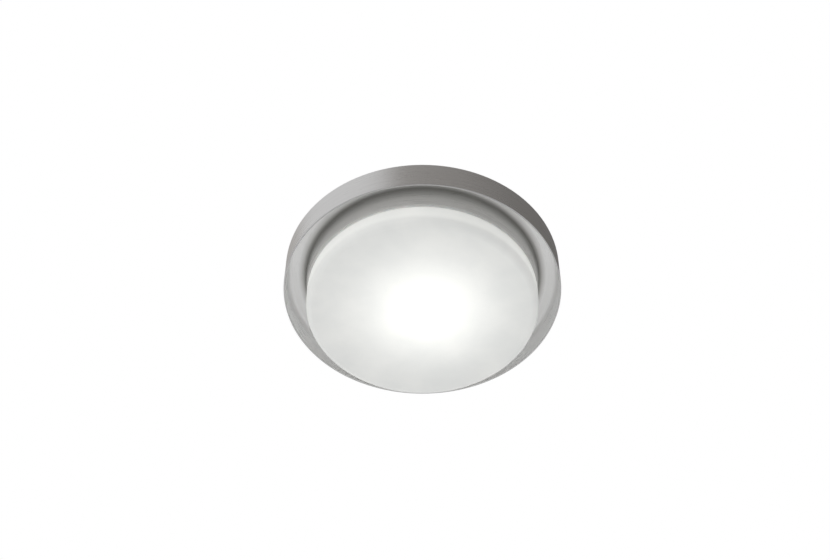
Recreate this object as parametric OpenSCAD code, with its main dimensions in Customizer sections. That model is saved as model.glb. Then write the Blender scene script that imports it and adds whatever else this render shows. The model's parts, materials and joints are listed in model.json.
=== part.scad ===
// Surface-mounted soffit light, in millimetres.
// The origin is the centre of the ceiling face. +Z points up into the ceiling,
// so every piece hangs at z below 0. Heights named *_z are places on Z.

/* [Housing] */
// Width of the channel between the skirt and the collar's root
channel_w = 13.1; // [9:0.1:20]
// Drop of the skirt below the ceiling
skirt_drop = 21.2; // [16:0.2:26]
// Thickness of the skirt
skirt_wall = 1; // [0.8:0.1:2.4]
// Depth of the channel floor's underside below the ceiling
floor_drop = 4.4; // [4:0.1:6]
// Extra radius of the collar at its root
collar_draft = 0.9; // [0:0.1:1.5]
// Wall of the collar at its lower rim
collar_wall = 2.4; // [1.8:0.1:2.8]
// Drop of the collar's lower rim below the ceiling
collar_drop = 21.6; // [19:0.2:26]
// Fillet where the collar meets the channel floor
root_fillet = 4.2; // [2:0.2:5]
// Fillet where the skirt meets the channel floor
skirt_fillet = 3; // [1:0.2:4]
// Chamfer round the outside of the collar's lower rim
rim_chamfer = 0.3; // [0.2:0.1:0.8]

/* [Ceiling side] */
// Thickness of the mounting plate
plate_t = 2; // [1.6:0.1:2.4]
// Radius of the plate beyond the circle of the flange screws
plate_margin = 6.6; // [5:0.1:8]
// Distance between the centres of the two ceiling slots
slot_spacing = 79.4; // [70:0.2:88]
// Overall length of each ceiling slot
slot_length = 14; // [10:0.5:15]
// Width of each ceiling slot
slot_width = 4.5; // [4:0.1:5.5]
// Thickness of the ceiling gasket
gasket_t = 2.3; // [2:0.1:2.5]
// Width of the ceiling gasket
gasket_w = 7.5; // [5:0.5:8]
// Width of the rib between the plate and the gasket
rib_w = 5.2; // [4:0.1:6]
// Bore of the cable grommet
cable_bore_r = 4; // [3:0.5:4.5]
// Radius of the grommet's hole in the plate
grommet_hole_r = 6.5; // [6:0.1:7]
// Distance of the cable hole from the centre
cable_y = 11; // [10:0.5:12]

/* [Glass] */
// Radius of the collar beyond the glass
glass_inset = 0.4; // [0:0.1:1]
// Height of the glass below the collar
glass_stand = 16.8; // [14:0.2:22]
// Bulge of the glass front
glass_bulge = 0.9; // [0.4:0.1:2]
// Rounding of the glass's front edge
glass_round = 4.8; // [3:0.2:6]
// Thickness of the glass
glass_wall = 4; // [3:0.1:4.5]
// Height of the bayonet ring above the end of the glass neck
ring_lead = 2; // [1:0.1:3]
// Thickness of the cover seal
seal_t = 1.1; // [0.8:0.1:2]

/* [Bayonet] */
// Turn that frees the cover, in degrees
twist = 24; // [15:1:30]
// Drop of the cover over that turn
ramp_drop = 2.4; // [1.5:0.1:2.8]
// Radius of a bayonet pin
pin_r = 1.5; // [1.2:0.1:1.8]
// Length of a pin beyond the socket's wall
pin_stand = 0.4; // [0.2:0.1:0.6]
// Height of the ring above its pins
ring_cap = 1.4; // [1:0.1:2]
// Wall of the bayonet socket
socket_wall = 2; // [1.6:0.1:2.2]
// Height of the socket's wall below the pins' ramps
socket_web = 2.3; // [1.6:0.1:2.8]
// Height of the socket's lower rim above the collar's
socket_rise = 1.6; // [1.3:0.1:2.2]
// Thickness of the socket's flange
socket_flange_t = 1.2; // [1:0.1:1.5]
// Wall of the bayonet ring on the glass neck
ring_wall = 1.6; // [1.2:0.1:1.8]
// Thickness of the bayonet ring's foot
ring_foot_t = 1.1; // [0.8:0.1:1.2]
// Thickness of the bond between ring and glass neck
bond_t = 0.6; // [0.4:0.1:0.8]

/* [Light source] */
// Radius of the heat spreader; all the rings outside it follow
spreader_r = 61; // [56:0.5:80]
// Thickness of the heat spreader
spreader_t = 1.5; // [1.2:0.1:2]
// Width across the corners of a standoff
standoff_d = 6.4; // [6:0.1:6.8]
// Distance of a standoff's axis from the spreader's edge
standoff_edge = 4.5; // [4:0.1:6]
// Thickness of the reflector tray
reflector_t = 1.2; // [1:0.1:1.5]
// Height of the reflector's turned rim
reflector_rim_h = 5; // [3:0.2:6]
// Radius of the LED board
board_r = 32; // [30:0.1:34]
// Thickness of the LED board
board_t = 1.6; // [1:0.1:2]
// Width of an LED chip
chip_w = 3; // [2.5:0.1:3.5]
// Height of an LED chip
chip_h = 0.8; // [0.6:0.1:1.2]
// Radius of the inner ring of chips
chip_ring_r = 9; // [8:0.5:10]

/* [Driver and terminals] */
// Width of the driver case
driver_w = 28; // [24:1:30]
// Height of the driver, lid included
driver_h = 12.4; // [12:0.1:14]
// Distance of the driver's middle from the centre
driver_y = 24; // [23.5:0.5:26]
// Wall of the driver case
driver_wall = 1.4; // [1:0.1:1.8]
// Thickness of the driver lid
lid_t = 1.2; // [1:0.1:1.5]
// Length of the terminal block
block_l = 30; // [28:1:32]
// Width of the terminal block
block_w = 17; // [16:1:18]
// Height of the terminal block
block_h = 11; // [10:0.5:12]
// Distance of the terminal block's middle from the centre
block_y = 31; // [30:0.5:33]
// Distance between the poles of the terminal block
pole_pitch = 10; // [9:0.5:10]
// Radius of a wire over its insulation
wire_r = 1.1; // [0.9:0.1:1.2]

/* [Screws] */
// Radius of an M3 screw's shank
m3_r = 1.5; // [1.4:0.05:1.5]
// Radius of an M3 screw's head
m3_head_r = 2.75; // [2.6:0.05:3]
// Height of an M3 screw's head
m3_head_h = 2; // [1.6:0.1:2.2]
// Radius of an M4 screw's shank
m4_r = 2; // [1.9:0.05:2]
// Radius of an M4 screw's head
m4_head_r = 3.8; // [3.6:0.05:4]
// Height of an M4 screw's head
m4_head_h = 2.4; // [2:0.1:2.6]

/* [Fits] */
// Play of a screw in a hole that it passes through
through_gap = 0.3; // [0.2:0.05:0.4]
// Gap between a screw and its thread
thread_gap = 0.05; // [0.03:0.01:0.1]
// Gap between the bayonet pins and their slots
pin_gap = 0.4; // [0.3:0.05:0.5]
// Gap round a piece that drops into a seat
seat_gap = 0.2; // [0.1:0.05:0.3]
// Gap between the cover's seal and the bayonet ring
seal_gap = 0.4; // [0.3:0.05:0.6]
// Gap round the reflector tray inside the glass neck
tray_gap = 1.3; // [0.8:0.1:2]
// Gap between the bayonet ring and the socket
ring_gap = 0.9; // [0.6:0.1:1.2]
// Gap between the socket and the collar
socket_gap = 1; // [0.7:0.1:1.5]
// Gap between the driver and the spreader above its lid
driver_gap = 1.8; // [1:0.1:3]
// Gap between the driver's feet and the edge of the floor opening
driver_room = 1; // [0.6:0.1:3]

/* [Hidden] */

$fn = 96;
fine = 32;
cut = 1;

// Radii, from the heat spreader outwards
tray_rim_r = spreader_r + seat_gap;
neck_in_r = tray_rim_r + tray_gap;
neck_r = neck_in_r + glass_wall;
ring_in_r = neck_r + bond_t;
ring_out_r = ring_in_r + ring_wall;
socket_r = ring_out_r + ring_gap;
socket_out_r = socket_r + socket_wall;
collar_in_r = socket_out_r + socket_gap;
collar_r = collar_in_r + collar_wall;
root_r = collar_r + collar_draft;
glass_r = collar_r - glass_inset;
skirt_in_r = root_r + channel_w;
body_r = skirt_in_r + skirt_wall;
lip_r = skirt_wall / 2;

// Radii of what stands on the floor's inner flange
standoff_pcd_r = spreader_r - standoff_edge;
flange_edge = 1.3;
standoff_room = 0.7;
plate_gap = 0.5;
floor_hole_r = standoff_pcd_r - standoff_d / 2 - flange_edge;
socket_flange_r = standoff_pcd_r + standoff_d / 2 + standoff_room;
flange_screw_r = (socket_flange_r + socket_r) / 2;
plate_r = flange_screw_r + plate_margin;
recess_r = plate_r + plate_gap;
groove_in_r = recess_r + rib_w;
groove_out_r = groove_in_r + gasket_w + 2 * seat_gap;

// Heights of the housing, then of the bayonet and the cover
floor_z = -floor_drop;
plate_z = -plate_t;
socket_z = socket_rise - collar_drop;
shoulder_z = -collar_drop - seal_t;
glass_drop = collar_drop + glass_stand;
slot_r = pin_r + pin_gap;
pin_z = socket_z + socket_web + slot_r + ramp_drop;
ring_z = pin_z + pin_r + ring_cap;
neck_z = ring_z - ring_lead;
ring_foot_w = 1.8;
ring_foot_r = ring_out_r + ring_foot_w;
pin_tip_r = socket_out_r + pin_stand;
slot_mid_r = socket_r + socket_wall / 2;
slot_chord = 2 * slot_mid_r * sin(twist / 2);
slot_slope = atan(ramp_drop / slot_chord);
slot_run = norm([slot_chord, ramp_drop]);
bayonet_angles = [90, 210, 330];

// Fasteners on the floor's inner flange
housing_screw_angles = [30, 150, 270];
socket_screw_angles = [0, 120, 240];
standoff_angles = [90, 210, 330];
socket_flange_z = floor_z - socket_flange_t;
head_gap = 0.6;

// Light source stack
standoff_l = plate_t + driver_h + driver_gap - floor_drop;
spreader_z = floor_z - standoff_l;
board_z = spreader_z - spreader_t;
chip_z = board_z - board_t;
board_screw_inset = 6;
board_screw_r = board_r - board_screw_inset;
board_screw_angles = [30, 150, 270];
tray_z = board_z - reflector_t;
tray_slope_w = 1.6;
tray_flat_r = tray_rim_r - tray_slope_w;
tray_hole_gap = 1;
reflector_hole_r = board_r + tray_hole_gap;
connector_edge = 7.5;
connector_at = [board_r - connector_edge, -10];
connector_size = [9, 6.5, 4];
grommet_lip = 1.2;

// Driver
driver_z = plate_z - driver_h;
driver_foot_y = driver_y + driver_w / 4;
driver_foot_l = 7;
driver_foot_w = 8;
driver_foot_t = 1.6;
foot_corner_y = driver_foot_y + driver_foot_w / 2;
driver_l = 2 * (sqrt(pow(floor_hole_r - driver_room, 2) - pow(foot_corner_y, 2)) - driver_foot_l);
driver_screw_x = driver_l / 2 + driver_foot_l / 2;

// Hole for the lamp leads, clear of the LED board and of the driver's end
lead_hole_r = 3.6;
lead_hole_edge = 0.4;
lead_bend = 3;
lead_hole_at = [max(reflector_hole_r + lead_hole_edge, driver_l / 2 + lead_bend) + lead_hole_r, -11];

// Circuit board in the driver
pcb_t = 1.2;
pcb_lift = 1;
pcb_margin = [4, 2];
pcb_z = driver_z + lid_t + pcb_lift;
pcb_l = driver_l - 2 * driver_wall - pcb_margin[0];
pcb_w = driver_w - 2 * driver_wall - pcb_margin[1];

// Parts on the circuit board: place on the board, then size (length, width, height)
// or radius and height
transformer = [[-6, -7, 0], [14, 13, 5.2]];
rectifier = [[12, -7.5, 0], [6, 4.4, 2]];
input_capacitor = [[-13, 7, 0], [2.5, 5]];
output_capacitor = [[14, 6, 0], [2.5, 5]];
choke = [[-15, -7, 0], [3, 4]];

// Terminal block and earth stud
block_z = plate_z - block_h;
pole_x = [-pole_pitch, 0, pole_pitch];
pole_drop = 5.5;
pole_z = plate_z - pole_drop;
clamp_l = 13;
clamp_r = 2.6;
clamp_bore_r = 1.6;
clamp_screw_r = 1.3;
clamp_screw_y = 3.8;
clamp_screw_inset = 0.6;
block_screw_r = 1.25;
block_head_r = 2.2;
block_head_h = 1.6;
block_seat_z = block_z + block_head_h + seat_gap;
stud_at = [30, 24];
stud_z = -13;
tag_t = 0.8;
tag_angle = 240;
barrel_r = 1.8;
barrel_at = 5.2;
barrel_l = 3;
washer_t = 0.8;
nut_h = 3.2;
nut_d = 8;

// Wire routes. Each list is in the order that the wire runs. Its ends are tied to the
// terminal block, the driver's ends, the hole in the spreader and the connector.
lead_in = 3.4;
block_face_y = block_y - clamp_l / 2 + lead_in;
block_front_y = block_y - block_w / 2;
end_x = driver_l / 2;
lead_depth = 2;
high_z = plate_z - 5;
low_z = plate_z - 7.5;
lead_x = lead_hole_at[0];
lead_y = lead_hole_at[1];
plug_x = connector_at[0];
port_z = chip_z - 2.5;
port_y = 1.25;
live_path = [
    [-pole_pitch, block_face_y, pole_z], [-pole_pitch, block_front_y - 1.5, pole_z], [-12, 15, -8],
    [-18, 8, -8.5], [-23, 0, -9], [-27, -5, -9], [-end_x - 4.5, -9, -8], [-end_x - 7.5, -14, -7],
    [-end_x - 6, 5.4 - driver_y, high_z], [lead_depth - end_x, 5 - driver_y, high_z],
];
neutral_path = [
    [0, block_face_y, pole_z], [0, block_front_y - 1, -8], [-3, 18, -11], [-12, 11, -12], [-20, 1, -12],
    [-26, -5, -12], [-end_x - 5, -10, -12], [-end_x - 9.5, -17, -11],
    [-end_x - 7, 1.6 - driver_y, low_z], [lead_depth - end_x, 1 - driver_y, low_z],
];
earth_path = [
    [pole_pitch, block_face_y, pole_z], [pole_pitch, block_front_y - 1.5, pole_z], [12, 15, -7.5],
    [17.5, 11.2, -6.4], [23, 12.2, -4.6], [25.7, 16.55, -4], [27.2, 19.15, -4],
];
lamp_plus_path = [
    [end_x - lead_depth, 6 - driver_y, high_z], [end_x + 3, 6.4 - driver_y, high_z], [lead_x + 0.4, -15, -8.5],
    [lead_x + 1.4, -11.6, -12], [lead_x + 1.15, lead_y + 0.4, spreader_z + 0.6],
    [lead_x + 1.15, lead_y + 0.4, tray_z - 1.3], [lead_x - 0.6, lead_y + 1.7, port_z - 0.4],
    [plug_x + 9.1, -8.7, port_z - 0.3], [plug_x + 6, -8.75, port_z],
    [plug_x + lead_depth, connector_at[1] + port_y, port_z],
];
lamp_minus_path = [
    [end_x - lead_depth, 1 - driver_y, low_z], [end_x + 3.5, 1.4 - driver_y, low_z], [lead_x + 0.6, -19, -10],
    [lead_x - 0.4, -13.6, -12.4], [lead_x - 1.15, lead_y - 0.4, spreader_z + 0.6],
    [lead_x - 1.15, lead_y - 0.4, tray_z - 1.3], [lead_x - 2.8, lead_y - 0.4, port_z - 0.2],
    [plug_x + 7, -11.25, port_z], [plug_x + lead_depth, connector_at[1] - port_y, port_z],
];
wire_sides = 8;
wire_steps = 4;

// ---------- helpers ----------

// Points every few degrees along an arc, in the plane of a profile
function arc(x, y, r, from, to, steps = 8) =
    [for (i = [0 : steps]) let(a = from + (to - from) * i / steps) [x + r * cos(a), y + r * sin(a)]];

module at_angles(angles, r) {
    for (a = angles) {
        rotate([0, 0, a]) translate([r, 0, 0]) children();
    }
}

// A plain disc or ring between two heights
module ring(outer_r, inner_r, low_z, high_z) {
    difference() {
        translate([0, 0, low_z]) cylinder(r = outer_r, h = high_z - low_z);
        if (inner_r > 0) {
            translate([0, 0, low_z - cut]) cylinder(r = inner_r, h = high_z - low_z + 2 * cut);
        }
    }
}

// A vertical hole
module hole(r, low_z, high_z) {
    translate([0, 0, low_z - cut]) cylinder(r = r, h = high_z - low_z + 2 * cut, $fn = fine);
}

// A pan-head screw driven upwards: the head's bearing face is at z = 0
module pan_screw(shank_r, shank_l, head_r, head_h) {
    edge = head_h * 0.4;
    blade = head_r * 0.26;
    difference() {
        union() {
            rotate_extrude($fn = fine) {
                polygon([
                    [0, -head_h], [head_r * 0.62, -head_h * 0.94], [head_r * 0.88, -head_h * 0.72],
                    [head_r, -edge], [head_r, 0], [0, 0],
                ]);
            }
            cylinder(r = shank_r, h = shank_l, $fn = fine);
        }
        for (a = [0, 90]) {
            rotate([0, 0, a]) {
                translate([-head_r * 0.62, -blade / 2, -head_h - cut]) {
                    cube([head_r * 1.24, blade, head_h * 0.55 + cut]);
                }
            }
        }
    }
}

// A slot along X that goes through everything between two heights
module slot_x(length, width, low_z, high_z) {
    span = length - width;
    height = high_z - low_z + 2 * cut;
    translate([-span / 2, -width / 2, low_z - cut]) cube([span, width, height]);
    for (x = [-span / 2, span / 2]) {
        translate([x, 0, low_z - cut]) cylinder(r = width / 2, h = height, $fn = fine);
    }
}

// ---------- wires: one swept tube along a smooth curve through hand-set points ----------

function unit(v) = v / norm(v);
function clamped(p, i) = p[max(0, min(len(p) - 1, i))];
function blend(a, b, c, d, t) =
    0.5 * (2 * b + (c - a) * t + (2 * a - 5 * b + 4 * c - d) * t * t + (3 * b - a - 3 * c + d) * t * t * t);
function smooth(p) = [
    for (i = [0 : len(p) - 2], s = [0 : wire_steps - 1])
        blend(clamped(p, i - 1), p[i], p[i + 1], clamped(p, i + 2), s / wire_steps),
    p[len(p) - 1],
];
function heading(p, i) = unit(clamped(p, i + 1) - clamped(p, i - 1));
function square_to(n, t) = unit(n - (n * t) * t);
function carried(p, i, n) =
    i == len(p) ? [] : let(m = square_to(n, heading(p, i))) concat([m], carried(p, i + 1, m));

module wire(path, r) {
    line = smooth(path);
    last = len(line) - 1;
    start = heading(line, 0);
    sides = carried(line, 0, square_to(abs(start[2]) < 0.7 ? [0, 0, 1] : [1, 0, 0], start));
    points = [
        for (i = [0 : last], k = [0 : wire_sides - 1])
            let(a = 360 * k / wire_sides, n = sides[i], b = cross(heading(line, i), n))
            line[i] + r * (cos(a) * n + sin(a) * b),
    ];
    walls = [
        for (i = [0 : last - 1], k = [0 : wire_sides - 1])
            let(a = i * wire_sides + k, b = i * wire_sides + (k + 1) % wire_sides)
            [a, b, b + wire_sides, a + wire_sides],
    ];
    triangles = [for (q = walls) each [[q[2], q[1], q[0]], [q[3], q[2], q[0]]]];
    first_cap = [for (k = [0 : wire_sides - 1]) k];
    last_cap = [for (k = [wire_sides - 1 : -1 : 0]) last * wire_sides + k];
    polyhedron(points = points, faces = concat(triangles, [first_cap], [last_cap]));
}

// ---------- ceiling side ----------

module mounting_plate() {
    color("silver") {
        difference() {
            ring(plate_r, 0, plate_z, 0);
            translate([0, cable_y, 0]) hole(grommet_hole_r, plate_z, 0);
            for (x = [-slot_spacing / 2, slot_spacing / 2]) {
                translate([x, 0, 0]) slot_x(slot_length, slot_width, plate_z, 0);
            }
            at_angles(housing_screw_angles, flange_screw_r) hole(m4_r + thread_gap, plate_z, 0);
            at_driver_screws() hole(m3_r + thread_gap, plate_z, 0);
            at_terminal_screws() hole(block_screw_r + thread_gap, plate_z, 0);
            translate(stud_at) hole(m4_r + thread_gap, plate_z, 0);
        }
    }
}

module cable_grommet() {
    neck_out_r = grommet_hole_r - thread_gap;
    flange_r = grommet_hole_r + 2;
    flange_t = 1.6;
    nose_t = 1.2;
    color("dimgray") {
        translate([0, cable_y, 0]) {
            difference() {
                union() {
                    ring(neck_out_r, 0, plate_z, -seat_gap);
                    ring(flange_r, 0, plate_z - flange_t, plate_z);
                    ring(grommet_hole_r - 0.6, 0, plate_z - flange_t - nose_t, plate_z - flange_t);
                }
                hole(cable_bore_r, plate_z - flange_t - nose_t, 0);
            }
        }
    }
}

module ceiling_gasket() {
    inner = groove_in_r + seat_gap;
    color("black") ring(inner + gasket_w, inner, -gasket_t, 0);
}

// ---------- housing ----------

module housing_profile() {
    polygon(concat(
        // behind the floor, from the big opening outwards
        [
            [floor_hole_r, floor_z], [floor_hole_r, plate_z], [recess_r, plate_z], [recess_r, 0],
            [groove_in_r, 0], [groove_in_r, -gasket_t], [groove_out_r, -gasket_t], [groove_out_r, -seat_gap],
        ],
        // top corner and skirt, then the full-round lip
        [[body_r - 0.8, -seat_gap], [body_r, -seat_gap - 0.8]],
        arc(body_r - lip_r, lip_r - skirt_drop, lip_r, 0, -180),
        // inside of the skirt, channel floor and collar
        arc(skirt_in_r - skirt_fillet, floor_z - skirt_fillet, skirt_fillet, 0, 90),
        arc(root_r + root_fillet, floor_z - root_fillet, root_fillet, 90, 180),
        [
            [collar_r, rim_chamfer - collar_drop], [collar_r - rim_chamfer, -collar_drop],
            [collar_in_r + 0.3, -collar_drop], [collar_in_r, 0.3 - collar_drop], [collar_in_r, floor_z],
        ]
    ));
}

module housing() {
    color("lightgray") {
        difference() {
            rotate_extrude() housing_profile();
            at_angles(housing_screw_angles, flange_screw_r) hole(m4_r + through_gap, floor_z, plate_z);
            at_angles(socket_screw_angles, flange_screw_r) hole(m3_r + thread_gap, floor_z, plate_z);
            at_angles(standoff_angles, standoff_pcd_r) hole(m3_r + thread_gap, floor_z, plate_z);
        }
    }
}

module housing_screws() {
    shank = floor_drop - seat_gap;
    color("silver") {
        at_angles(housing_screw_angles, flange_screw_r) {
            translate([0, 0, floor_z]) pan_screw(m4_r, shank, m4_head_r, m4_head_h);
        }
    }
}

// ---------- bayonet socket, fixed ----------

// The path that one pin takes: a ramp over the twist, then the way out at the bottom.
// It is drawn with the locked pin at angle 0.
module pin_track() {
    depth = 4 * socket_wall;
    rotate([0, 0, -twist / 2]) {
        translate([slot_mid_r - depth / 2, 0, pin_z - ramp_drop / 2]) {
            rotate([slot_slope, 0, 0]) {
                translate([0, -slot_run / 2, -slot_r]) cube([depth, slot_run, 2 * slot_r]);
            }
        }
    }
    for (end = [[0, pin_z], [-twist, pin_z - ramp_drop]]) {
        rotate([0, 0, end[0]]) {
            translate([slot_mid_r - depth / 2, 0, end[1]]) {
                rotate([0, 90, 0]) cylinder(r = slot_r, h = depth, $fn = fine);
            }
        }
    }
    rotate([0, 0, -twist]) {
        translate([slot_mid_r - depth / 2, -slot_r, socket_z - cut]) {
            cube([depth, 2 * slot_r, pin_z - ramp_drop - socket_z + cut]);
        }
    }
}

module bayonet_socket() {
    color("gainsboro") {
        difference() {
            union() {
                ring(socket_out_r, socket_r, socket_z, floor_z);
                ring(socket_out_r, socket_flange_r, socket_flange_z, floor_z);
            }
            for (a = bayonet_angles) {
                rotate([0, 0, a]) pin_track();
            }
            at_angles(socket_screw_angles, flange_screw_r) hole(m3_r + through_gap, socket_flange_z, floor_z);
            at_angles(housing_screw_angles, flange_screw_r) hole(m4_head_r + head_gap, socket_flange_z, floor_z);
        }
    }
}

module socket_screws() {
    shank = socket_flange_t + floor_drop - plate_t - seat_gap;
    color("silver") {
        at_angles(socket_screw_angles, flange_screw_r) {
            translate([0, 0, socket_flange_z]) pan_screw(m3_r, shank, m3_head_r, m3_head_h);
        }
    }
}

// ---------- light source ----------

module standoffs() {
    stud_h = floor_drop - plate_t - seat_gap;
    bore_h = 7;
    color("goldenrod") {
        at_angles(standoff_angles, standoff_pcd_r) {
            difference() {
                union() {
                    translate([0, 0, spreader_z]) cylinder(d = standoff_d, h = standoff_l, $fn = 6);
                    translate([0, 0, floor_z]) cylinder(r = m3_r, h = stud_h, $fn = fine);
                }
                translate([0, 0, spreader_z - cut]) cylinder(r = m3_r + thread_gap, h = bore_h + cut, $fn = fine);
            }
        }
    }
}

module heat_spreader() {
    color("silver") {
        difference() {
            ring(spreader_r, 0, board_z, spreader_z);
            at_angles(standoff_angles, standoff_pcd_r) hole(m3_r + through_gap, board_z, spreader_z);
            at_angles(board_screw_angles, board_screw_r) hole(m3_r + thread_gap, board_z, spreader_z);
            translate(lead_hole_at) hole(lead_hole_r, board_z, spreader_z);
        }
    }
}

module reflector_tray() {
    low = tray_z;
    color("white") {
        difference() {
            rotate_extrude() {
                polygon([
                    [reflector_hole_r, board_z], [reflector_hole_r, low], [tray_flat_r, low],
                    [tray_rim_r - 1, low - reflector_rim_h], [tray_rim_r, low - reflector_rim_h],
                    [tray_rim_r, board_z],
                ]);
            }
            at_angles(standoff_angles, standoff_pcd_r) hole(m3_r + through_gap, tray_z, board_z);
            translate(lead_hole_at) hole(lead_hole_r, tray_z, board_z);
        }
    }
}

module tray_screws() {
    grip = reflector_t + spreader_t;
    thread = 5.5;
    color("silver") {
        at_angles(standoff_angles, standoff_pcd_r) {
            translate([0, 0, tray_z]) pan_screw(m3_r, grip + thread, m3_head_r, m3_head_h);
        }
    }
}

module tray_grommet() {
    neck_out_r = lead_hole_r - thread_gap;
    lip_out_r = lead_hole_r + grommet_lip;
    bore_r = lead_hole_r - 0.9;
    color("dimgray") {
        translate(lead_hole_at) {
            difference() {
                union() {
                    ring(neck_out_r, 0, tray_z, spreader_z);
                    ring(lip_out_r, 0, spreader_z, spreader_z + grommet_lip);
                    ring(lip_out_r, 0, tray_z - grommet_lip, tray_z);
                }
                hole(bore_r, tray_z - grommet_lip, spreader_z + grommet_lip);
            }
        }
    }
}

module led_board() {
    color("white") {
        difference() {
            ring(board_r, 0, chip_z, board_z);
            at_angles(board_screw_angles, board_screw_r) hole(m3_r + through_gap, chip_z, board_z);
        }
    }
}

// A lamp chip: a square package with a round phosphor window
module led_chip() {
    window_r = chip_w * 0.42;
    base_h = chip_h * 0.7;
    translate([-chip_w / 2, -chip_w / 2, -base_h]) cube([chip_w, chip_w, base_h]);
    translate([0, 0, -chip_h]) cylinder(r = window_r, h = chip_h, $fn = fine);
}

module led_chips() {
    color("khaki") {
        translate([0, 0, chip_z]) {
            led_chip();
            for (ring_no = [1, 2], k = [0 : 6 * ring_no - 1]) {
                rotate([0, 0, 60 * k / ring_no + 15]) translate([ring_no * chip_ring_r, 0, 0]) led_chip();
            }
        }
    }
}

module board_screws() {
    color("silver") {
        at_angles(board_screw_angles, board_screw_r) {
            translate([0, 0, chip_z]) pan_screw(m3_r, board_t + spreader_t, m3_head_r, m3_head_h);
        }
    }
}

// The connector's two ports, where the lamp leads end
module board_connector() {
    port_r = wire_r + seat_gap;
    color("ivory") {
        difference() {
            translate([connector_at[0] - connector_size[0] / 2, connector_at[1] - connector_size[1] / 2,
                       chip_z - connector_size[2]]) {
                cube(connector_size);
            }
            for (path = [lamp_plus_path, lamp_minus_path]) {
                translate([path[len(path) - 1][0] - 0.5, path[len(path) - 1][1], path[len(path) - 1][2]]) {
                    rotate([0, 90, 0]) cylinder(r = port_r, h = connector_size[0], $fn = fine);
                }
            }
        }
    }
}

// ---------- driver ----------

module at_driver_screws() {
    for (x = [-driver_screw_x, driver_screw_x]) {
        translate([x, -driver_foot_y, 0]) children();
    }
}

// Holes in the case's two ends, one for each lead
module driver_lead_holes() {
    for (path = [live_path, neutral_path]) {
        end = path[len(path) - 1];
        translate([end[0] - 2 * driver_wall, end[1], end[2]]) {
            rotate([0, -90, 0]) cylinder(r = wire_r + seat_gap, h = driver_l / 4, center = true, $fn = fine);
        }
    }
    for (path = [lamp_plus_path, lamp_minus_path]) {
        start = path[0];
        translate([start[0] + 2 * driver_wall, start[1], start[2]]) {
            rotate([0, 90, 0]) cylinder(r = wire_r + seat_gap, h = driver_l / 4, center = true, $fn = fine);
        }
    }
}

module driver_case() {
    inside = [driver_l - 2 * driver_wall, driver_w - 2 * driver_wall, driver_h];
    feet = [driver_l + 2 * driver_foot_l, driver_foot_w, driver_foot_t];
    color("whitesmoke") {
        difference() {
            union() {
                translate([-driver_l / 2, -driver_y - driver_w / 2, driver_z + lid_t]) {
                    cube([driver_l, driver_w, driver_h - lid_t]);
                }
                translate([-feet[0] / 2, -foot_corner_y, plate_z - driver_foot_t]) {
                    cube(feet);
                }
            }
            translate([-inside[0] / 2, -driver_y - inside[1] / 2, driver_z - driver_wall]) cube(inside);
            at_driver_screws() hole(m3_r + through_gap, plate_z - driver_foot_t, plate_z);
            driver_lead_holes();
        }
    }
}

module driver_lid() {
    tongue_t = 1;
    tongue_l = driver_l - 2 * driver_wall - 2 * seat_gap;
    tongue_w = driver_w - 2 * driver_wall - 2 * seat_gap;
    color("whitesmoke") {
        translate([-driver_l / 2, -driver_y - driver_w / 2, driver_z]) cube([driver_l, driver_w, lid_t]);
        translate([-tongue_l / 2, -driver_y - tongue_w / 2, driver_z + lid_t]) cube([tongue_l, tongue_w, tongue_t]);
    }
}

module driver_board() {
    color("darkgreen") {
        translate([-pcb_l / 2, -driver_y - pcb_w / 2, pcb_z]) cube([pcb_l, pcb_w, pcb_t]);
    }
}

// Transformer and rectifier, then two capacitors and a choke, standing on the circuit board
module driver_components() {
    color("darkorange") {
        translate([0, -driver_y, pcb_z + pcb_t]) {
            for (part = [transformer, rectifier]) {
                translate(part[0]) cube(part[1]);
            }
            for (part = [input_capacitor, output_capacitor, choke]) {
                translate(part[0]) cylinder(r = part[1][0], h = part[1][1], $fn = fine);
            }
        }
    }
}

module driver_screws() {
    color("silver") {
        at_driver_screws() {
            translate([0, 0, plate_z - driver_foot_t]) {
                pan_screw(m3_r, driver_foot_t + plate_t - seat_gap, m3_head_r, m3_head_h);
            }
        }
    }
}

// ---------- terminal block and earth ----------

module at_terminal_screws() {
    for (x = [-pole_pitch / 2, pole_pitch / 2]) {
        translate([x, block_y, 0]) children();
    }
}

module terminal_body() {
    color("ivory") {
        difference() {
            translate([-block_l / 2, block_y - block_w / 2, block_z]) cube([block_l, block_w, block_h]);
            for (x = pole_x) {
                translate([x, block_y, pole_z]) {
                    rotate([90, 0, 0]) {
                        cylinder(r = clamp_r + thread_gap, h = block_w + 2 * cut, center = true, $fn = fine);
                    }
                }
                for (y = [-clamp_screw_y, clamp_screw_y]) {
                    translate([x, block_y + y, 0]) hole(clamp_screw_r + through_gap, block_z, pole_z);
                }
            }
            at_terminal_screws() {
                hole(block_screw_r + through_gap, block_z, plate_z);
                translate([0, 0, block_z - cut]) {
                    cylinder(r = block_head_r + seat_gap, h = block_seat_z - block_z + cut, $fn = fine);
                }
            }
        }
    }
}

module terminal_clamps() {
    color("gold") {
        for (x = pole_x) {
            translate([x, block_y, pole_z]) {
                difference() {
                    rotate([90, 0, 0]) cylinder(r = clamp_r, h = clamp_l, center = true, $fn = fine);
                    rotate([90, 0, 0]) {
                        cylinder(r = clamp_bore_r, h = clamp_l + 2 * cut, center = true, $fn = fine);
                    }
                    for (y = [-clamp_screw_y, clamp_screw_y]) {
                        translate([0, y, -clamp_r - cut]) {
                            cylinder(r = clamp_screw_r + thread_gap, h = clamp_r + cut, $fn = fine);
                        }
                    }
                }
            }
        }
    }
}

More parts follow.
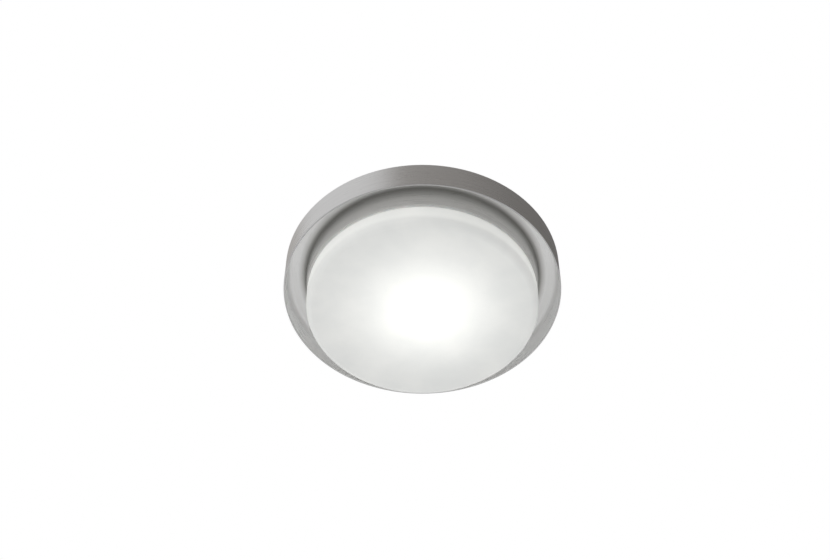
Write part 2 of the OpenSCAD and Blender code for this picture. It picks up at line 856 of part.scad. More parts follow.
module terminal_screws() {
    foot_z = block_z + clamp_screw_inset;
    slot_w = 0.6;
    slot_depth = 0.8;
    color("silver") {
        for (x = pole_x, y = [-clamp_screw_y, clamp_screw_y]) {
            translate([x, block_y + y, foot_z]) {
                difference() {
                    cylinder(r = clamp_screw_r, h = pole_z - wire_r - thread_gap - foot_z, $fn = fine);
                    translate([-clamp_screw_r - cut, -slot_w / 2, -cut]) {
                        cube([2 * clamp_screw_r + 2 * cut, slot_w, slot_depth + cut]);
                    }
                }
            }
        }
    }
}

module terminal_fixing_screws() {
    color("silver") {
        at_terminal_screws() {
            translate([0, 0, block_seat_z]) {
                pan_screw(block_screw_r, -block_seat_z - seat_gap, block_head_r, block_head_h);
            }
        }
    }
}

module earth_stud() {
    color("silver") translate([stud_at[0], stud_at[1], stud_z]) {
        cylinder(r = m4_r, h = -stud_z - seat_gap, $fn = fine);
    }
}

// Ring terminal: a flat eye on the stud, a tongue, and the barrel that grips the wire
module earth_tag() {
    eye_r = 3.9;
    tongue_w = 3;
    barrel_z = -4;
    color("lightyellow") {
        difference() {
            union() {
                translate([stud_at[0], stud_at[1], plate_z - tag_t]) {
                    cylinder(r = eye_r, h = tag_t, $fn = fine);
                    rotate([0, 0, tag_angle]) {
                        translate([0, -tongue_w / 2, 0]) cube([barrel_at + barrel_l, tongue_w, tag_t]);
                    }
                }
                translate([stud_at[0], stud_at[1], barrel_z]) {
                    rotate([0, 0, tag_angle]) translate([barrel_at, 0, 0]) {
                        rotate([0, 90, 0]) cylinder(r = barrel_r, h = barrel_l, $fn = fine);
                    }
                }
            }
            translate([stud_at[0], stud_at[1], 0]) hole(m4_r + thread_gap, plate_z - tag_t, plate_z);
            translate([stud_at[0], stud_at[1], barrel_z]) {
                rotate([0, 0, tag_angle]) translate([barrel_at - cut, 0, 0]) {
                    rotate([0, 90, 0]) cylinder(r = wire_r + seat_gap, h = barrel_l + 2 * cut, $fn = fine);
                }
            }
        }
    }
}

module earth_nut() {
    color("silver") {
        translate([stud_at[0], stud_at[1], plate_z - tag_t - washer_t]) {
            difference() {
                union() {
                    cylinder(r = nut_d / 2 + 0.4, h = washer_t, $fn = fine);
                    translate([0, 0, -nut_h]) cylinder(d = nut_d, h = nut_h, $fn = 6);
                }
                hole(m4_r + thread_gap, -nut_h, washer_t);
            }
        }
    }
}

module earth_wire() {
    color("limegreen") wire(earth_path, wire_r);
}

module live_wire() {
    color("saddlebrown") wire(live_path, wire_r);
}

module neutral_wire() {
    color("royalblue") wire(neutral_path, wire_r);
}

module lamp_plus_wire() {
    color("red") wire(lamp_plus_path, wire_r);
}

module lamp_minus_wire() {
    color("black") wire(lamp_minus_path, wire_r);
}

// ---------- cover: seal, glass and bayonet ring ----------

module cover_seal() {
    inner = ring_foot_r + seal_gap;
    outer = glass_r - 0.3;
    color("gray") ring(outer, inner, shoulder_z, -collar_drop);
}

// Height of the glass front at a radius, a shallow dome, and of its inner face
function front_z(r, edge_r) = -glass_drop - glass_bulge * (1 - pow(r / edge_r, 2));
function inner_front_z(r) = front_z(r, glass_r - glass_round) + glass_wall;

module glass() {
    edge_r = glass_r - glass_round;
    inner_r = glass_r - glass_wall;
    shoulder_round = 1.2;
    inner_round = 2.5;
    inner_edge_r = inner_r - inner_round;
    steps = 10;
    color("white") {
        rotate_extrude() {
            polygon(concat(
                [[neck_in_r, neck_z - 0.6], [neck_in_r + 0.6, neck_z], [neck_r - 0.6, neck_z], [neck_r, neck_z - 0.6]],
                [[neck_r, shoulder_z]],
                arc(glass_r - shoulder_round, shoulder_z - shoulder_round, shoulder_round, 90, 0, 4),
                arc(edge_r, glass_round - glass_drop, glass_round, 0, -90),
                [for (i = [1 : steps]) let(r = edge_r * (1 - i / steps)) [r, front_z(r, edge_r)]],
                [for (i = [0 : steps - 1]) let(r = inner_edge_r * i / steps) [r, inner_front_z(r)]],
                arc(inner_edge_r, inner_front_z(inner_edge_r) + inner_round, inner_round, -90, 0, 4),
                arc(inner_edge_r, shoulder_z - glass_wall - inner_round, inner_round, 0, 90, 4),
                [[neck_in_r, shoulder_z - glass_wall + 1]]
            ));
        }
    }
}

module glass_bond() {
    color("gray") ring(ring_in_r, neck_r, shoulder_z + ring_foot_t, neck_z);
}

module bayonet_ring() {
    hole_r = pin_r * 0.8;
    color("silver") {
        difference() {
            union() {
                ring(ring_out_r, ring_in_r, shoulder_z, ring_z);
                ring(ring_foot_r, ring_in_r, shoulder_z, shoulder_z + ring_foot_t);
            }
            for (a = bayonet_angles) {
                rotate([0, 0, a]) translate([ring_in_r - cut, 0, pin_z]) {
                    rotate([0, 90, 0]) cylinder(r = hole_r + thread_gap, h = ring_wall + 2 * cut, $fn = fine);
                }
            }
        }
    }
}

// Rivets with a plain pin outside, their shank through the ring's wall
module bayonet_pins() {
    shank_r = pin_r * 0.8;
    color("gainsboro") {
        for (a = bayonet_angles) {
            rotate([0, 0, a]) translate([ring_out_r, 0, pin_z]) {
                rotate([0, 90, 0]) cylinder(r = pin_r, h = pin_tip_r - ring_out_r, $fn = fine);
                rotate([0, -90, 0]) cylinder(r = shank_r, h = ring_wall, $fn = fine);
            }
        }
    }
}

mounting_plate();
cable_grommet();
ceiling_gasket();
housing();
housing_screws();
bayonet_socket();
socket_screws();
standoffs();
heat_spreader();
reflector_tray();
tray_screws();
tray_grommet();
led_board();
led_chips();
board_screws();
board_connector();
driver_case();
driver_lid();
driver_board();
driver_components();
driver_screws();
terminal_body();
terminal_clamps();
terminal_screws();
terminal_fixing_screws();
earth_stud();
earth_nut();
earth_tag();
earth_wire();
live_wire();
neutral_wire();
lamp_plus_wire();
lamp_minus_wire();
cover_seal();
glass();
glass_bond();
bayonet_ring();
bayonet_pins();
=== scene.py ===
import json
import math

import bmesh
import bpy
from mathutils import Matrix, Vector


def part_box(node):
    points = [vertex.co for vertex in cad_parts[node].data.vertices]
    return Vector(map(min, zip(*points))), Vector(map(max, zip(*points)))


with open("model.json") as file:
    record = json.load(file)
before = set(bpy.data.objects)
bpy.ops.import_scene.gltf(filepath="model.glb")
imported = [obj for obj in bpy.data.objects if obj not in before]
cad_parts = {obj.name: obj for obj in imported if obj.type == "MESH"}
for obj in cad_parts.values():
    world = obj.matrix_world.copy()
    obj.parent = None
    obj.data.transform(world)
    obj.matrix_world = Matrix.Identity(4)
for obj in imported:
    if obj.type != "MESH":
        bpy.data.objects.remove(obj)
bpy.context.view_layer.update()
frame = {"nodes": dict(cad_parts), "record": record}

nodes_of = frame["nodes"]
scene = bpy.context.scene


# ---------- node graphs ----------

class Graph:
    """One material's or world's node tree, built from short calls."""

    def __init__(self, owner):
        owner.use_nodes = True
        self.tree = owner.node_tree
        self.tree.nodes.clear()

    def add(self, kind, inputs=(), **settings):
        made = self.tree.nodes.new(kind)
        for name, value in settings.items():
            setattr(made, name, value)
        for key, value in dict(inputs).items():
            self.feed(made, key, value)
        return made

    def feed(self, made, key, value):
        socket = made.inputs[key]
        if isinstance(value, bpy.types.NodeSocket):
            self.tree.links.new(value, socket)
        elif isinstance(value, tuple) and len(value) == 3 and socket.type == "RGBA":
            socket.default_value = (*value, 1.0)
        else:
            socket.default_value = value

    def math(self, operation, a, b=0.0):
        return self.add("ShaderNodeMath", {0: a, 1: b}, operation=operation).outputs[0]

    def vector(self, x=0.0, y=0.0, z=0.0):
        return self.add("ShaderNodeCombineXYZ", {0: x, 1: y, 2: z}).outputs[0]

    def split(self, vector):
        made = self.add("ShaderNodeSeparateXYZ", {0: vector})
        return made.outputs[0], made.outputs[1], made.outputs[2]

    def spread(self, value, low, high, new_low=0.0, new_high=1.0, smooth=False):
        made = self.add("ShaderNodeMapRange", {0: value, 1: low, 2: high, 3: new_low, 4: new_high})
        if smooth:
            made.interpolation_type = "SMOOTHSTEP"
        return made.outputs[0]

    def noise(self, vector, scale, detail=2.0, roughness=0.5, w=None):
        inputs = {"Vector": vector, "Scale": scale, "Detail": detail, "Roughness": roughness}
        made = self.add("ShaderNodeTexNoise", noise_dimensions="3D" if w is None else "4D")
        if w is not None:
            inputs["W"] = w
        for key, value in inputs.items():
            self.feed(made, key, value)
        return made.outputs[0]

    def stretched(self, place, scales, detail=2.0, roughness=0.5):
        """Noise with a scale of its own along each axis"""
        mapped = self.add("ShaderNodeMapping", {0: place, 3: scales}).outputs[0]
        return self.noise(mapped, 1.0, detail, roughness)

    def cells(self, vector, scale, distance="EUCLIDEAN"):
        return self.add("ShaderNodeTexVoronoi", {"Vector": vector, "Scale": scale},
                        feature="F1", distance=distance)

    def mix(self, factor, a, b):
        made = self.add("ShaderNodeMix", data_type="RGBA")
        self.feed(made, 0, factor)
        self.feed(made, 6, a)
        self.feed(made, 7, b)
        return made.outputs[2]

    def bump(self, height, strength, distance):
        inputs = {"Height": height, "Strength": strength, "Distance": distance}
        return self.add("ShaderNodeBump", inputs).outputs[0]

    def place(self):
        return self.add("ShaderNodeTexCoord").outputs["Object"]

    def radial(self, place):
        """(distance from the light's axis, angle's cosine, angle's sine, height)"""
        x, y, z = self.split(place)
        r = self.math("SQRT", self.math("ADD", self.math("MULTIPLY", x, x), self.math("MULTIPLY", y, y)))
        safe = self.math("MAXIMUM", r, 1e-6)
        return r, self.math("DIVIDE", x, safe), self.math("DIVIDE", y, safe), z

    def turned(self, place, across, along):
        """Streaks that run round the axis: fine across them, slow along them"""
        r, cos_a, sin_a, z = self.radial(place)
        spot = self.vector(self.math("MULTIPLY", r, across), self.math("MULTIPLY", z, across),
                           self.math("MULTIPLY", cos_a, along))
        return self.noise(spot, 1.0, 3.0, 0.6, w=self.math("MULTIPLY", sin_a, along))


MATERIALS = {}


def finish(name, metallic=0.0, **fixed):
    """Decorator: a material whose graph function returns the linked sockets of its shader"""
    def wrap(build):
        material = bpy.data.materials.new(name)
        graph = Graph(material)
        linked = build(graph, graph.place())
        shader = graph.add("ShaderNodeBsdfPrincipled", {"Metallic": metallic})
        for key, value in fixed.items():
            graph.feed(shader, key.replace("_", " "), value)
        for key, value in linked.items():
            graph.feed(shader, key.replace("_", " "), value)
        output = graph.add("ShaderNodeOutputMaterial", {"Surface": shader.outputs[0]})
        output.is_active_output = True
        MATERIALS[name] = material
        return build
    return wrap


# Where the housing's finish changes, and where its painted shade and painted light lie, each from one
# radius or height to another
SKIRT_INSIDE = (0.0888, 0.0893)
BELOW_BACK = (-0.0042, -0.0035)
COLLAR_SHADE_SIDE = (0.0785, 0.0815)
SKIRT_LIGHT_SIDE = (0.0840, 0.0880)
ROOT_SHADE_REACH = (0.0763, 0.0785)
ROOT_SHADE_HEIGHT = (-0.0150, -0.0060)
LIP_SHADE_REACH = (0.0885, 0.0888)
LIP_SHADE_HEIGHT = (-0.0211, -0.0206)


@finish("satin_nickel", Anisotropic=0.6)
def satin_nickel(g, place):
    fine = g.turned(place, 4200.0, 5.0)
    broad = g.turned(place, 650.0, 2.2)
    drift = g.noise(place, 22.0, 2.0)
    tone = g.math("ADD", g.math("MULTIPLY", fine, 0.55), g.math("MULTIPLY", broad, 0.45))
    colour = g.mix(g.spread(tone, 0.3, 0.7), (0.77, 0.77, 0.775), (0.88, 0.878, 0.875))
    colour = g.mix(g.spread(drift, 0.35, 0.75, 0.0, 0.12), colour, (0.76, 0.75, 0.78))
    # Brushed outside, matt lacquer over the casting in the channel
    r, _, _, z = g.radial(place)
    inside = g.spread(r, *SKIRT_INSIDE, 1.0, 0.0)
    cast = g.math("MULTIPLY", inside, g.spread(z, *BELOW_BACK, 1.0, 0.0))
    lacquer_with_painted_shade_and_light = g.mix(g.spread(tone, 0.3, 0.7), (0.93, 0.93, 0.925), (0.97, 0.97, 0.965))
    # Painted shade: the collar's wall is given a darker grey than the rest of the channel
    lacquer_with_painted_shade_and_light = g.mix(g.spread(r, *COLLAR_SHADE_SIDE), (0.62, 0.615, 0.600), lacquer_with_painted_shade_and_light)
    # Painted light: the skirt's inner wall is given an even near-white so that it reads bright
    lacquer_with_painted_shade_and_light = g.mix(g.spread(r, *SKIRT_LIGHT_SIDE), lacquer_with_painted_shade_and_light, (0.96, 0.96, 0.955))
    # Painted shade: darker towards the foot of the collar, deep in the channel
    near_root = g.spread(r, *ROOT_SHADE_REACH, 1.0, 0.0)
    root = g.math("MULTIPLY", near_root, g.spread(z, *ROOT_SHADE_HEIGHT, 0.22, 0.92))
    lacquer_with_painted_shade_and_light = g.mix(root, lacquer_with_painted_shade_and_light, (0.12, 0.118, 0.108))
    colour = g.mix(cast, colour, lacquer_with_painted_shade_and_light)
    # Painted shade: a dark band along the skirt's lower lip
    painted_lip_shade = g.math("MULTIPLY", g.spread(r, *LIP_SHADE_REACH), g.spread(z, *LIP_SHADE_HEIGHT, 0.45, 0.0))
    colour = g.mix(painted_lip_shade, colour, (0.20, 0.20, 0.195))
    rough = g.math("ADD", g.spread(fine, 0.25, 0.75, 0.25, 0.35), g.spread(drift, 0.3, 0.7, -0.02, 0.03))
    return {"Metallic": g.spread(cast, 0.0, 1.0, 1.0, 0.15), "Base_Color": colour, "Roughness": rough,
            "Normal": g.bump(fine, 0.10, 0.00006),
            "Tangent": g.add("ShaderNodeTangent", direction_type="RADIAL", axis="Z").outputs[0]}


# The lit glass: its brightest spot, how far that spreads, and its brighter edge
GLOW_X, GLOW_Y, GLOW_REACH = 0.0035, -0.004, 0.042
EDGE_REACH = (0.0670, 0.0710)
EDGE_HEIGHT = (-0.0375, -0.0300)


@finish("opal_glass", IOR=1.5, Emission_Color=(1.0, 1.0, 0.955), Coat_Weight=0.0)
def opal_glass(g, place):
    x, y, z = g.split(place)
    dx = g.math("SUBTRACT", x, GLOW_X)
    dy = g.math("SUBTRACT", y, GLOW_Y)
    spot = g.math("ADD", g.math("MULTIPLY", dx, dx), g.math("MULTIPLY", dy, dy))
    glow = g.math("EXPONENT", g.math("DIVIDE", spot, -GLOW_REACH * GLOW_REACH))
    cloud = g.noise(place, 38.0, 3.0, 0.55)
    strength = g.math("ADD", g.math("MULTIPLY", glow, 0.52), g.spread(cloud, 0.3, 0.7, 0.03, 0.05))
    r = g.radial(place)[0]
    outer = g.spread(r, *EDGE_REACH, smooth=True)
    edge = g.math("MULTIPLY", outer, g.spread(z, *EDGE_HEIGHT, smooth=True))
    strength = g.math("ADD", strength, g.math("MULTIPLY", edge, 0.20))
    etch = g.noise(place, 3600.0, 2.0, 0.6)
    colour = g.mix(g.spread(cloud, 0.3, 0.7), (0.60, 0.61, 0.60), (0.64, 0.645, 0.63))
    rough = g.spread(etch, 0.3, 0.7, 0.40, 0.52)
    return {"Base_Color": colour, "Roughness": rough, "Emission_Strength": strength,
            "Normal": g.bump(etch, 0.12, 0.00005)}


@finish("zinc_steel", metallic=1.0)
def zinc_steel(g, place):
    grain = g.cells(place, 260.0)
    tint = g.noise(place, 30.0, 3.0, 0.6)
    scuff = g.stretched(place, (300.0, 4200.0, 900.0))
    base = g.mix(g.spread(tint, 0.35, 0.68), (0.56, 0.60, 0.64), (0.68, 0.68, 0.64))
    colour = g.mix(g.math("MULTIPLY", g.split(grain.outputs["Color"])[0], 0.16), base, (0.42, 0.46, 0.50))
    rough = g.math("ADD", g.spread(scuff, 0.3, 0.7, 0.26, 0.38), g.math("MULTIPLY", grain.outputs[0], 8.0))
    return {"Base_Color": colour, "Roughness": g.math("MINIMUM", rough, 0.55),
            "Normal": g.bump(scuff, 0.10, 0.00005)}


@finish("socket_steel", metallic=1.0)
def socket_steel(g, place):
    drawn = g.turned(place, 2200.0, 60.0)
    stain = g.noise(place, 60.0, 4.0, 0.6)
    colour = g.mix(g.spread(stain, 0.35, 0.7), (0.60, 0.60, 0.61), (0.50, 0.49, 0.47))
    return {"Base_Color": colour, "Roughness": g.spread(drawn, 0.3, 0.7, 0.28, 0.44),
            "Normal": g.bump(drawn, 0.12, 0.00005)}


@finish("screw_steel", metallic=1.0)
def screw_steel(g, place):
    plating = g.noise(place, 900.0, 3.0, 0.6)
    wear = g.noise(place, 180.0, 2.0)
    colour = g.mix(g.spread(wear, 0.35, 0.7), (0.70, 0.71, 0.73), (0.62, 0.62, 0.60))
    return {"Base_Color": colour, "Roughness": g.spread(plating, 0.3, 0.7, 0.16, 0.30),
            "Normal": g.bump(plating, 0.08, 0.00004)}


@finish("aluminium", metallic=1.0)
def aluminium(g, place):
    rolled = g.stretched(place, (60.0, 3600.0, 900.0), 3.0, 0.6)
    oxide = g.noise(place, 45.0, 4.0, 0.6)
    colour = g.mix(g.spread(oxide, 0.35, 0.7), (0.79, 0.80, 0.81), (0.70, 0.70, 0.69))
    return {"Base_Color": colour, "Roughness": g.spread(rolled, 0.3, 0.7, 0.28, 0.42),
            "Normal": g.bump(rolled, 0.12, 0.00005)}


@finish("brass", metallic=1.0)
def brass(g, place):
    turned = g.stretched(place, (300.0, 300.0, 5200.0))
    tarnish = g.noise(place, 320.0, 4.0, 0.6)
    colour = g.mix(g.spread(tarnish, 0.4, 0.72), (0.80, 0.62, 0.30), (0.60, 0.43, 0.19))
    return {"Base_Color": colour, "Roughness": g.spread(turned, 0.3, 0.7, 0.18, 0.34),
            "Normal": g.bump(turned, 0.12, 0.00005)}


@finish("tinned_copper", metallic=1.0)
def tinned_copper(g, place):
    flow = g.noise(place, 520.0, 3.0, 0.5)
    worn = g.spread(g.noise(place, 240.0, 4.0, 0.65), 0.58, 0.72)
    colour = g.mix(g.math("MULTIPLY", worn, 0.5), (0.75, 0.74, 0.71), (0.78, 0.46, 0.30))
    return {"Base_Color": colour, "Roughness": g.spread(flow, 0.3, 0.7, 0.22, 0.40),
            "Normal": g.bump(flow, 0.18, 0.00006)}


@finish("grommet_rubber", Specular_IOR_Level=0.35)
def grommet_rubber(g, place):
    bloom = g.noise(place, 150.0, 4.0, 0.6)
    grain = g.noise(place, 3200.0, 2.0)
    colour = g.mix(g.spread(bloom, 0.42, 0.75), (0.022, 0.022, 0.023), (0.075, 0.074, 0.072))
    return {"Base_Color": colour, "Roughness": g.spread(grain, 0.3, 0.7, 0.62, 0.78),
            "Normal": g.bump(grain, 0.16, 0.00006)}


@finish("foam", Specular_IOR_Level=0.15)
def foam(g, place):
    pores = g.cells(place, 1500.0)
    depth = g.spread(pores.outputs[0], 0.0, 0.45)
    dust = g.noise(place, 90.0, 3.0)
    colour = g.mix(depth, (0.012, 0.012, 0.013), (0.085, 0.086, 0.09))
    colour = g.mix(g.spread(dust, 0.45, 0.8, 0.0, 0.25), colour, (0.16, 0.155, 0.15))
    return {"Base_Color": colour, "Roughness": g.spread(depth, 0.0, 1.0, 0.96, 0.84),
            "Normal": g.bump(depth, 0.55, 0.00022)}


@finish("silicone", Subsurface_Weight=0.15, Subsurface_Scale=0.002, IOR=1.41)
def silicone(g, place):
    haze = g.noise(place, 210.0, 3.0, 0.55)
    skin = g.noise(place, 2600.0, 2.0)
    colour = g.mix(g.spread(haze, 0.35, 0.7), (0.74, 0.74, 0.72), (0.62, 0.625, 0.62))
    return {"Base_Color": colour, "Roughness": g.spread(skin, 0.3, 0.7, 0.38, 0.52),
            "Normal": g.bump(haze, 0.10, 0.0001)}


@finish("reflector_white", Specular_IOR_Level=0.45)
def reflector_white(g, place):
    peel = g.noise(place, 750.0, 2.0, 0.4)
    shade = g.noise(place, 40.0, 3.0)
    colour = g.mix(g.spread(shade, 0.35, 0.7), (0.88, 0.88, 0.87), (0.83, 0.83, 0.81))
    return {"Base_Color": colour, "Roughness": g.spread(peel, 0.3, 0.7, 0.26, 0.40),
            "Normal": g.bump(peel, 0.14, 0.00012)}


# The board's copper shows faintly through its white coat: wide rings, and one thin ring further out
WIDE_RINGS = (0.0, 0.009, 0.018)
THIN_RING = 0.030


@finish("board_white", Specular_IOR_Level=0.5)
def board_white(g, place):
    r = g.radial(place)[0]
    lands = []
    for radius in WIDE_RINGS:
        near = g.math("ABSOLUTE", g.math("SUBTRACT", r, radius))
        lands.append(g.spread(near, 0.0020, 0.0024, 1.0, 0.0))
    copper = g.math("MAXIMUM", g.math("MAXIMUM", lands[0], lands[1]), lands[2])
    gap = g.math("ABSOLUTE", g.math("SUBTRACT", r, THIN_RING))
    copper = g.math("MAXIMUM", copper, g.spread(gap, 0.0004, 0.0006, 1.0, 0.0))
    weave = g.noise(place, 1500.0, 2.0)
    colour = g.mix(g.math("MULTIPLY", copper, 0.55), (0.86, 0.87, 0.86), (0.74, 0.78, 0.77))
    colour = g.mix(g.spread(weave, 0.4, 0.7, 0.0, 0.12), colour, (0.80, 0.80, 0.76))
    return {"Base_Color": colour, "Roughness": g.spread(weave, 0.3, 0.7, 0.24, 0.36),
            "Normal": g.bump(copper, 0.35, 0.00006)}


# How far up from a chip's lit face the yellow gel ends and the white case begins
GEL_END, CASE_START = 0.00008, 0.00016


@finish("phosphor", Emission_Color=(1.0, 0.93, 0.62), Specular_IOR_Level=0.5)
def phosphor(g, place):
    z = g.split(place)[2]
    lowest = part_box("led_chips")[0][2]
    window = g.spread(z, lowest + GEL_END, lowest + CASE_START, 1.0, 0.0)
    grain = g.noise(place, 5200.0, 2.0)
    gel = g.mix(g.spread(grain, 0.3, 0.7), (0.90, 0.74, 0.16), (0.84, 0.62, 0.10))
    return {"Base_Color": g.mix(window, (0.86, 0.86, 0.83), gel),
            "Roughness": g.spread(window, 0.0, 1.0, 0.46, 0.24),
            "Emission_Strength": g.math("MULTIPLY", window, 0.25),
            "Normal": g.bump(grain, 0.14, 0.00004)}


def moulded(name, light, dark, low, high, grain_scale=2400.0, depth=0.16, **fixed):
    """A moulded plastic: spark-eroded grain, faint flow marks and handling sheen"""
    @finish(name, **fixed)
    def build(g, place):
        grain = g.noise(place, grain_scale, 2.0, 0.55)
        flow = g.stretched(place, (34.0, 90.0, 60.0), 3.0)
        colour = g.mix(g.spread(flow, 0.35, 0.7), light, dark)
        rough = g.math("ADD", g.spread(grain, 0.3, 0.7, low, high), g.spread(flow, 0.3, 0.7, -0.04, 0.04))
        return {"Base_Color": colour, "Roughness": rough, "Normal": g.bump(grain, depth, 0.00006)}


moulded("ivory_plastic", (0.80, 0.77, 0.68), (0.74, 0.70, 0.60), 0.34, 0.48)
moulded("driver_plastic", (0.80, 0.81, 0.80), (0.72, 0.73, 0.73), 0.46, 0.62, 1700.0, 0.24)


@finish("board_green", Specular_IOR_Level=0.5)
def board_green(g, place):
    weave = g.noise(place, 1300.0, 2.0)
    run = g.cells(place, 260.0, "MANHATTAN")
    track = g.spread(run.outputs[0], 0.30, 0.36)
    colour = g.mix(track, (0.016, 0.13, 0.045), (0.040, 0.23, 0.075))
    colour = g.mix(g.spread(weave, 0.4, 0.7, 0.0, 0.25), colour, (0.02, 0.10, 0.035))
    return {"Base_Color": colour, "Roughness": g.spread(weave, 0.3, 0.7, 0.24, 0.38),
            "Normal": g.bump(track, 0.30, 0.00005)}


# Where one driver component's colour gives way to the next one's, and the pitch of the windings
CHOKE_TO_TAPE = (-0.0081, -0.0079)
TAPE_TO_RECTIFIER = (0.0099, 0.0101)
CAPACITOR_ROW = (-0.0216, -0.0214)
TURN_PITCH = 0.0009


@finish("component_mix", Specular_IOR_Level=0.5)
def component_mix(g, place):
    """Copper choke, yellow tape and black rectifier in front, dark blue sleeves in the row behind"""
    x, y, z = g.split(place)
    turns = g.math("SINE", g.math("MULTIPLY", z, 2.0 * math.pi / TURN_PITCH))
    grain = g.noise(place, 1900.0, 2.0)
    right = g.spread(x, *TAPE_TO_RECTIFIER)
    back = g.spread(y, *CAPACITOR_ROW)
    middle = g.spread(x, *CHOKE_TO_TAPE)
    tape = g.mix(g.spread(turns, -0.2, 0.2, 0.0, 0.4), (0.78, 0.56, 0.07), (0.62, 0.40, 0.05))
    sleeve = g.mix(g.spread(grain, 0.4, 0.7), (0.020, 0.028, 0.075), (0.045, 0.060, 0.13))
    copper = g.mix(g.spread(turns, -0.3, 0.3), (0.55, 0.20, 0.08), (0.30, 0.09, 0.04))
    front = g.mix(middle, copper, g.mix(right, tape, (0.018, 0.018, 0.019)))
    colour = g.mix(back, front, sleeve)
    return {"Base_Color": colour, "Roughness": g.spread(grain, 0.3, 0.7, 0.26, 0.42),
            "Normal": g.bump(turns, 0.20, 0.00006)}


def sheath(name, main, dark, stripe=None):
    """Wire insulation, extruded, with a second colour along it where stripe is given"""
    @finish(name, Specular_IOR_Level=0.45)
    def build(g, place):
        drift = g.noise(place, 240.0, 3.0, 0.5)
        skin = g.noise(place, 2800.0, 2.0)
        colour = g.mix(g.spread(drift, 0.35, 0.7), main, dark)
        if stripe:
            up = g.split(g.add("ShaderNodeTexCoord").outputs["Normal"])[2]
            side = g.math("ABSOLUTE", up)
            colour = g.mix(g.spread(side, 0.48, 0.56), colour, stripe)
        return {"Base_Color": colour, "Roughness": g.spread(skin, 0.3, 0.7, 0.30, 0.44),
                "Normal": g.bump(skin, 0.10, 0.00004)}


sheath("earth_pvc", (0.045, 0.30, 0.06), (0.03, 0.22, 0.05), stripe=(0.78, 0.70, 0.05))
sheath("live_pvc", (0.19, 0.075, 0.03), (0.14, 0.05, 0.02))
sheath("neutral_pvc", (0.03, 0.14, 0.45), (0.02, 0.10, 0.34))
sheath("red_pvc", (0.52, 0.03, 0.025), (0.40, 0.02, 0.02))
sheath("black_pvc", (0.022, 0.022, 0.024), (0.045, 0.045, 0.048))

for part in frame["record"]["subparts"]:
    mesh_slots = nodes_of[part["node"]].data.materials
    mesh_slots.clear()
    mesh_slots.append(MATERIALS[part["material_slot"]])


# ---------- stage ----------

def stage_disc(name, radius, z):
    mesh = bpy.data.meshes.new(name)
    shape = bmesh.new()
    bmesh.ops.create_circle(shape, cap_ends=True, segments=96, radius=radius)
    shape.to_mesh(mesh)
    shape.free()
    disc = bpy.data.objects.new(name, mesh)
    disc.location.z = z
    scene.collection.objects.link(disc)
    return disc


# The floor as the metal sees it: light far off, dark behind the camera
NEAR_Y, FAR_Y, NEAR_L, FAR_L = -1.2, 0.3, 0.45, 0.80
FLOOR_RADIUS, FLOOR_Z = 9.0, -1.25
floor = stage_disc("floor", FLOOR_RADIUS, FLOOR_Z)
floor_material = bpy.data.materials.new("floor_paint")
g = Graph(floor_material)
paint = g.add("ShaderNodeBsdfDiffuse", {0: (0.86, 0.86, 0.86)})
away = g.split(g.place())[1]
level = g.spread(away, NEAR_Y, FAR_Y, NEAR_L, FAR_L, smooth=True)
glow = g.add("ShaderNodeEmission", {0: (1.0, 1.0, 1.0), 1: level})
glossy = g.add("ShaderNodeLightPath").outputs["Is Glossy Ray"]
seen = g.add("ShaderNodeMixShader", {0: glossy, 1: paint.outputs[0], 2: glow.outputs[0]})
g.add("ShaderNodeOutputMaterial", {0: seen.outputs[0]})
floor.data.materials.append(floor_material)


# ---------- world: even light, a white background, and soft dark and light sides for the metal ----------

world = bpy.data.worlds.new("studio")
scene.world = world
g = Graph(world)
heading = g.add("ShaderNodeTexCoord").outputs["Generated"]
wx, wy, wz = g.split(heading)
turn = g.math("DIVIDE", g.math("ADD", g.math("ARCTAN2", wy, wx), math.pi), 2 * math.pi)
ramp = g.add("ShaderNodeValToRGB", {0: turn})
# The world's grey by heading in degrees; the dark sides are a little warmer than the light ones
SIDES = [(-180, 0.64), (-126, 0.64), (-114, 0.27), (-60, 0.24), (0, 0.15),
         (66, 0.13), (92, 0.35), (140, 0.40), (154, 0.62), (180, 0.64)]
DARK_BLUE, LIGHT_BLUE = 0.90, 0.99
bar = ramp.color_ramp
while len(bar.elements) < len(SIDES):
    bar.elements.new(0.5)
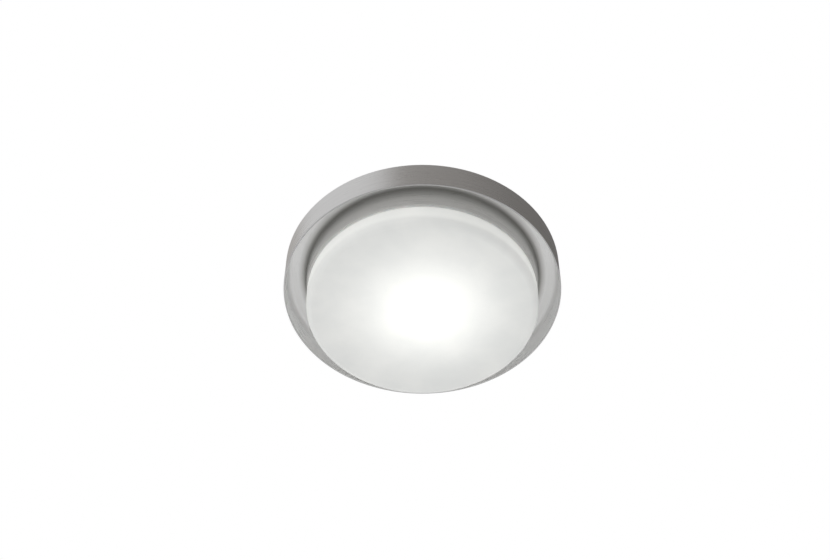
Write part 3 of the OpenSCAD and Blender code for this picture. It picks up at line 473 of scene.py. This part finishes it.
# All positions first: the ramp sorts its stops when one is moved
for element, (angle, _) in zip(bar.elements, SIDES):
    element.position = (angle + 180) / 360
for element, (_, grey) in zip(bar.elements, SIDES):
    blue = DARK_BLUE if grey < 0.5 else LIGHT_BLUE
    element.color = (grey, grey * (0.5 + 0.5 * blue), grey * blue, 1.0)
low = g.spread(wz, -0.10, 0.28, 0.0, 1.0, smooth=True)
high = g.spread(wz, 0.90, 1.0, 0.0, 1.0, smooth=True)
card = g.mix(low, (0.80, 0.80, 0.80), ramp.outputs[0])
card = g.mix(high, card, (0.62, 0.62, 0.62))
rays = g.add("ShaderNodeLightPath")
plain = g.math("MAXIMUM", rays.outputs["Is Camera Ray"], rays.outputs["Is Transmission Ray"])
even = g.mix(rays.outputs["Is Glossy Ray"], (0.86, 0.86, 0.86), card)
shown = g.mix(plain, even, (1.0, 1.0, 1.0))
g.add("ShaderNodeOutputWorld", {0: g.add("ShaderNodeBackground", {0: shown, 1: 1.0}).outputs[0]})


# ---------- lamps ----------

LAMPS_AIM = Vector((0, 0, -0.02))


def lamp(name, place, size, watts):
    data = bpy.data.lights.new(name, "AREA")
    data.shape = "DISK"
    data.size = size
    data.energy = watts
    made = bpy.data.objects.new(name, data)
    made.location = place
    made.rotation_euler = (LAMPS_AIM - Vector(place)).to_track_quat("-Z", "Y").to_euler()
    made.visible_glossy = False
    made.visible_camera = False
    scene.collection.objects.link(made)


lamp("key", (-1.9, -1.1, -0.5), 1.1, 10.0)
lamp("back", (0.0, 2.0, -0.3), 1.0, 10.0)
lamp("top", (0.7, -0.5, 1.7), 1.4, 16.0)


# ---------- camera: below and in front of the light, looking up at it ----------

TARGET = Vector((0, 0, -0.0135))
TILT = math.radians(49.17)
DISTANCE = 0.9
line = Vector((0, math.cos(TILT), math.sin(TILT)))
camera_data = bpy.data.cameras.new("camera")
camera_data.sensor_width = 36.0
camera_data.lens = 59.73
camera_data.shift_x = -0.0089
camera_data.shift_y = 0.010
camera = bpy.data.objects.new("camera", camera_data)
camera.location = TARGET - DISTANCE * line
camera.rotation_euler = line.to_track_quat("-Z", "Y").to_euler()
scene.collection.objects.link(camera)
scene.camera = camera
scene.view_settings.view_transform = "Standard"
